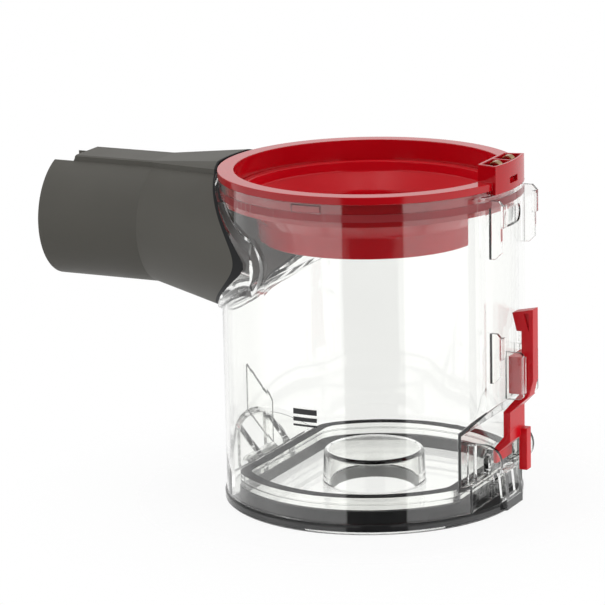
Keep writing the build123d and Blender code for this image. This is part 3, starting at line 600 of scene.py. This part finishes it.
class DUSTBIN_OT_fill_mark(bpy.types.Operator):
    """Print three fill bars on the bin's wall"""

    bl_idname = "dustbin.fill_mark"
    bl_label = "Fill mark"

    def execute(self, context):
        finish = context.scene.dustbin_finish
        detail = context.scene.dustbin_detail
        wall = -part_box("bin_body")[0][1]
        ink = moulded_plastic(
            "ink_finish", finish.rubber_ink_and_painted_line_black, low=0.45, high=0.6,
            grain_scale=1800.0, grain_strength=0.1)
        turn = detail.mark_width / wall
        shape = bmesh.new()
        foot = detail.mark_foot
        for height, gap in FILL_BARS:
            low = shape.verts.new((wall, 0.0, foot))
            high = shape.verts.new((wall, 0.0, foot + height))
            edge = shape.edges.new((low, high))
            start = Matrix.Rotation(detail.mark_turn - turn / 2, 3, "Z")
            bmesh.ops.rotate(shape, cent=(0, 0, 0), matrix=start, verts=[low, high])
            bmesh.ops.spin(
                shape, geom=[low, high, edge], cent=(0, 0, 0), axis=(0, 0, 1), angle=turn,
                steps=FILL_STEPS)
            foot += height + gap
        bmesh.ops.recalc_face_normals(shape, faces=shape.faces)
        bmesh.ops.solidify(shape, geom=shape.faces[:], thickness=-detail.mark_thick)
        bmesh.ops.recalc_face_normals(shape, faces=shape.faces)
        add_piece("fill_mark", shape, ink, "bin")
        return {"FINISHED"}


class DUSTBIN_OT_stage(bpy.types.Operator):
    """Set up the camera, the floor and the lamps"""

    bl_idname = "dustbin.stage"
    bl_label = "Stage"

    def execute(self, context):
        stage = context.scene.dustbin_stage
        self.place_camera(context.scene, stage)
        self.lay_floor()
        self.light_room(context.scene, stage)
        self.hang_panels(stage)
        context.scene.view_settings.view_transform = "Standard"
        return {"FINISHED"}

    def place_camera(self, scene, stage):
        aim = Vector((0.0, 0.0, stage.aim_height))
        flat = cos(stage.elevation)
        back = Vector((
            sin(stage.azimuth) * flat, -cos(stage.azimuth) * flat, sin(stage.elevation)))
        view = bpy.data.cameras.new("photo_view")
        view.lens = stage.lens
        view.sensor_width = SENSOR_WIDTH
        view.shift_x, view.shift_y = CAMERA_SHIFT
        view.clip_end = CAMERA_REACH
        camera = bpy.data.objects.new("photo_view", view)
        camera.rotation_mode = "QUATERNION"
        turned = back.to_track_quat("Z", "Y").to_matrix() @ Matrix.Rotation(-stage.roll, 3, "Z")
        camera.rotation_quaternion = turned.to_quaternion()
        camera.location = aim + back * stage.distance
        scene.collection.objects.link(camera)
        scene.camera = camera

    def lay_floor(self):
        """White floor that keeps a faint shadow, fades out and doesn't show in reflections."""
        shape = bmesh.new()
        bmesh.ops.create_grid(shape, x_segments=1, y_segments=1, size=FLOOR_HALF)
        bmesh.ops.translate(shape, verts=shape.verts, vec=(0.0, 0.0, -FLOOR_GAP))
        mesh = bpy.data.meshes.new("floor")
        shape.to_mesh(mesh)
        shape.free()
        material, nodes, links, shader = new_finish("floor_white")
        shader.inputs["Base Color"].default_value = (0.9, 0.9, 0.9, 1.0)
        shader.inputs["Roughness"].default_value = 0.9
        shader.inputs["Specular IOR Level"].default_value = 0.0
        glow = nodes.new("ShaderNodeEmission")
        lift = add_node(nodes, "ShaderNodeMixShader", {"Fac": FLOOR_GLOW})
        path = nodes.new("ShaderNodeLightPath")
        seen = add_node(nodes, "ShaderNodeMath", operation="MAXIMUM")
        through = nodes.new("ShaderNodeBsdfTransparent")
        white = nodes.new("ShaderNodeMixShader")
        final = nodes.new("ShaderNodeMixShader")
        links.new(shader.outputs["BSDF"], lift.inputs[1])
        links.new(glow.outputs["Emission"], lift.inputs[2])
        links.new(path.outputs["Is Camera Ray"], seen.inputs[0])
        links.new(path.outputs["Is Transmission Ray"], seen.inputs[1])
        links.new(seen.outputs["Value"], white.inputs["Fac"])
        links.new(shader.outputs["BSDF"], white.inputs[1])
        links.new(lift.outputs["Shader"], white.inputs[2])
        place = nodes.new("ShaderNodeTexCoord")
        reach = add_node(nodes, "ShaderNodeVectorMath", operation="LENGTH")
        fade = span(nodes, *FLOOR_FADE)
        hidden = add_node(nodes, "ShaderNodeMath", operation="MAXIMUM")
        links.new(place.outputs["Object"], reach.inputs[0])
        links.new(reach.outputs["Value"], fade.inputs["Value"])
        links.new(fade.outputs["Result"], hidden.inputs[0])
        links.new(path.outputs["Is Glossy Ray"], hidden.inputs[1])
        links.new(hidden.outputs["Value"], final.inputs["Fac"])
        links.new(white.outputs["Shader"], final.inputs[1])
        links.new(through.outputs["BSDF"], final.inputs[2])
        links.new(final.outputs["Shader"], nodes["Material Output"].inputs["Surface"])
        mesh.materials.append(material)
        floor = bpy.data.objects.new("floor", mesh)
        bpy.context.scene.collection.objects.link(floor)

    def light_room(self, scene, stage):
        """White for the camera, a painted room in reflections and a dim room for dull surfaces.

        Rays that only pass through clear plastic see no panels and no dark gap.
        """
        world = bpy.data.worlds.new("room")
        world.use_nodes = True
        nodes = world.node_tree.nodes
        links = world.node_tree.links
        path = nodes.new("ShaderNodeLightPath")
        place = nodes.new("ShaderNodeTexCoord")
        room = nodes["Background"]
        room.inputs["Color"].default_value = WHITE
        room.inputs["Strength"].default_value = stage.room_light
        split = nodes.new("ShaderNodeSeparateXYZ")
        ceiling = span(nodes, *CEILING_FADE, {"To Min": 1.0, "To Max": stage.ceiling_light})
        links.new(place.outputs["Generated"], split.inputs["Vector"])
        links.new(split.outputs["Z"], ceiling.inputs["Value"])
        middle = stage.azimuth + GAP_TURN
        level = add_node(nodes, "ShaderNodeVectorMath", {1: LEVEL}, "MULTIPLY")
        compass = add_node(nodes, "ShaderNodeVectorMath", operation="NORMALIZE")
        facing = add_node(
            nodes, "ShaderNodeVectorMath", {1: (sin(middle), -cos(middle), 0.0)}, "DOT_PRODUCT")
        gap = span(
            nodes, cos(stage.gap_width + GAP_SOFT), cos(stage.gap_width - GAP_SOFT),
            {"To Min": 1.0, "To Max": stage.gap_light})
        beside = span(nodes, *PANEL_FADE, {"To Min": 1.0, "To Max": stage.panel_light})
        inner = span(nodes, 0.0, 1.0, {"To Min": 1.0, "To Max": stage.inner_light})
        shades = [add_node(nodes, "ShaderNodeMath", operation="MULTIPLY") for _ in range(3)]
        links.new(place.outputs["Generated"], level.inputs[0])
        links.new(level.outputs["Vector"], compass.inputs[0])
        links.new(compass.outputs["Vector"], facing.inputs[0])
        links.new(facing.outputs["Value"], gap.inputs["Value"])
        links.new(facing.outputs["Value"], beside.inputs["Value"])
        links.new(path.outputs["Diffuse Depth"], inner.inputs["Value"])
        links.new(gap.outputs["Result"], shades[0].inputs[0])
        links.new(beside.outputs["Result"], shades[0].inputs[1])
        turned = add_node(nodes, "ShaderNodeMath", operation="ADD")
        side = span(nodes, 0.0, 1.0, {"To Min": 1.0})
        links.new(path.outputs["Glossy Depth"], turned.inputs[0])
        links.new(path.outputs["Diffuse Depth"], turned.inputs[1])
        links.new(turned.outputs["Value"], side.inputs["Value"])
        links.new(shades[0].outputs["Value"], side.inputs["To Max"])
        links.new(side.outputs["Result"], shades[1].inputs[0])
        links.new(ceiling.outputs["Result"], shades[1].inputs[1])
        links.new(shades[1].outputs["Value"], shades[2].inputs[0])
        links.new(inner.outputs["Result"], shades[2].inputs[1])
        mirrored = add_node(nodes, "ShaderNodeBackground", {"Color": WHITE})
        white = add_node(nodes, "ShaderNodeBackground", {"Color": WHITE})
        links.new(shades[2].outputs["Value"], mirrored.inputs["Strength"])
        surface = room
        rays = (
            ("Is Glossy Ray", mirrored), ("Is Transmission Ray", mirrored),
            ("Is Camera Ray", white))
        for ray, background in rays:
            mix = nodes.new("ShaderNodeMixShader")
            links.new(path.outputs[ray], mix.inputs["Fac"])
            links.new(surface.outputs[0], mix.inputs[1])
            links.new(background.outputs["Background"], mix.inputs[2])
            surface = mix
        links.new(surface.outputs["Shader"], nodes["World Output"].inputs["Surface"])
        scene.world = world

    def hang_panels(self, stage):
        """Soft lamps behind, above and on both sides, and a strip that shows only as glints."""
        self.hang_panel(
            "back_panel", stage.azimuth + radians(180.0), distance=1.6, width=2.4, height=1.6,
            middle=0.85, brightness=stage.back_light)
        self.hang_panel(
            "left_lamp", stage.azimuth - radians(73.0), distance=1.1, width=1.4, height=1.4,
            middle=0.8, brightness=stage.left_key)
        self.hang_panel(
            "right_lamp", stage.azimuth + radians(59.0), distance=1.0, width=1.2, height=1.4,
            middle=0.4, brightness=stage.right_key)
        over_duct = stage.azimuth - radians(120.0)
        above = self.hang_panel(
            "overhead_panel", over_duct, distance=0.4, width=1.6, height=1.6,
            middle=1.4, brightness=stage.key_light)
        strip = self.hang_panel(
            "strip_lamp", over_duct, distance=0.0, width=0.5, height=1.6,
            middle=1.4, brightness=stage.strip_light)
        strip.visible_glossy = True
        strip.visible_diffuse = False
        for lamp in (above, strip):
            lamp.rotation_quaternion = Vector((0.0, 0.0, 1.0)).to_track_quat("Z", "Y")

    def hang_panel(self, name, azimuth, distance, width, height, middle, brightness):
        """Area lamp that faces the bin's axis and isn't seen itself."""
        lamp = bpy.data.lights.new(name, "AREA")
        lamp.shape = "RECTANGLE"
        lamp.size = width
        lamp.size_y = height
        lamp.energy = brightness * width * height * pi
        panel = bpy.data.objects.new(name, lamp)
        away = Vector((sin(azimuth), -cos(azimuth), 0.0))
        panel.location = away * distance + Vector((0.0, 0.0, middle))
        panel.rotation_mode = "QUATERNION"
        panel.rotation_quaternion = away.to_track_quat("Z", "Y")
        panel.visible_camera = False
        panel.visible_glossy = False
        panel.visible_transmission = False
        bpy.context.scene.collection.objects.link(panel)
        return panel


class DUSTBIN_PT_sidebar(bpy.types.Panel):
    """Lists the steps in the sidebar"""

    bl_idname = "DUSTBIN_PT_sidebar"
    bl_label = "Dust bin"
    bl_space_type = "VIEW_3D"
    bl_region_type = "UI"
    bl_category = "Dust bin"

    def draw(self, context):
        for step in STEPS:
            self.layout.operator(step.bl_idname)
        scene = context.scene
        for group in (scene.dustbin_stage, scene.dustbin_finish, scene.dustbin_detail):
            box = self.layout.box()
            for name in group.__annotations__:
                box.prop(group, name)


STEPS = (
    DUSTBIN_OT_clear_shell,
    DUSTBIN_OT_duct,
    DUSTBIN_OT_collar,
    DUSTBIN_OT_base,
    DUSTBIN_OT_runner,
    DUSTBIN_OT_fill_mark,
    DUSTBIN_OT_stage,
)
CLASSES = (StageSettings, FinishSettings, DetailSettings) + STEPS + (DUSTBIN_PT_sidebar,)


def register():
    for entry in CLASSES:
        bpy.utils.register_class(entry)
    bpy.types.Scene.dustbin_stage = PointerProperty(type=StageSettings)
    bpy.types.Scene.dustbin_finish = PointerProperty(type=FinishSettings)
    bpy.types.Scene.dustbin_detail = PointerProperty(type=DetailSettings)


def unregister():
    del bpy.types.Scene.dustbin_detail
    del bpy.types.Scene.dustbin_finish
    del bpy.types.Scene.dustbin_stage
    for entry in reversed(CLASSES):
        bpy.utils.unregister_class(entry)


def main():
    register()
    bpy.ops.dustbin.clear_shell()
    bpy.ops.dustbin.duct()
    bpy.ops.dustbin.collar()
    bpy.ops.dustbin.base()
    bpy.ops.dustbin.runner()
    bpy.ops.dustbin.fill_mark()
    bpy.ops.dustbin.stage()


if __name__ == "__main__":
    main()
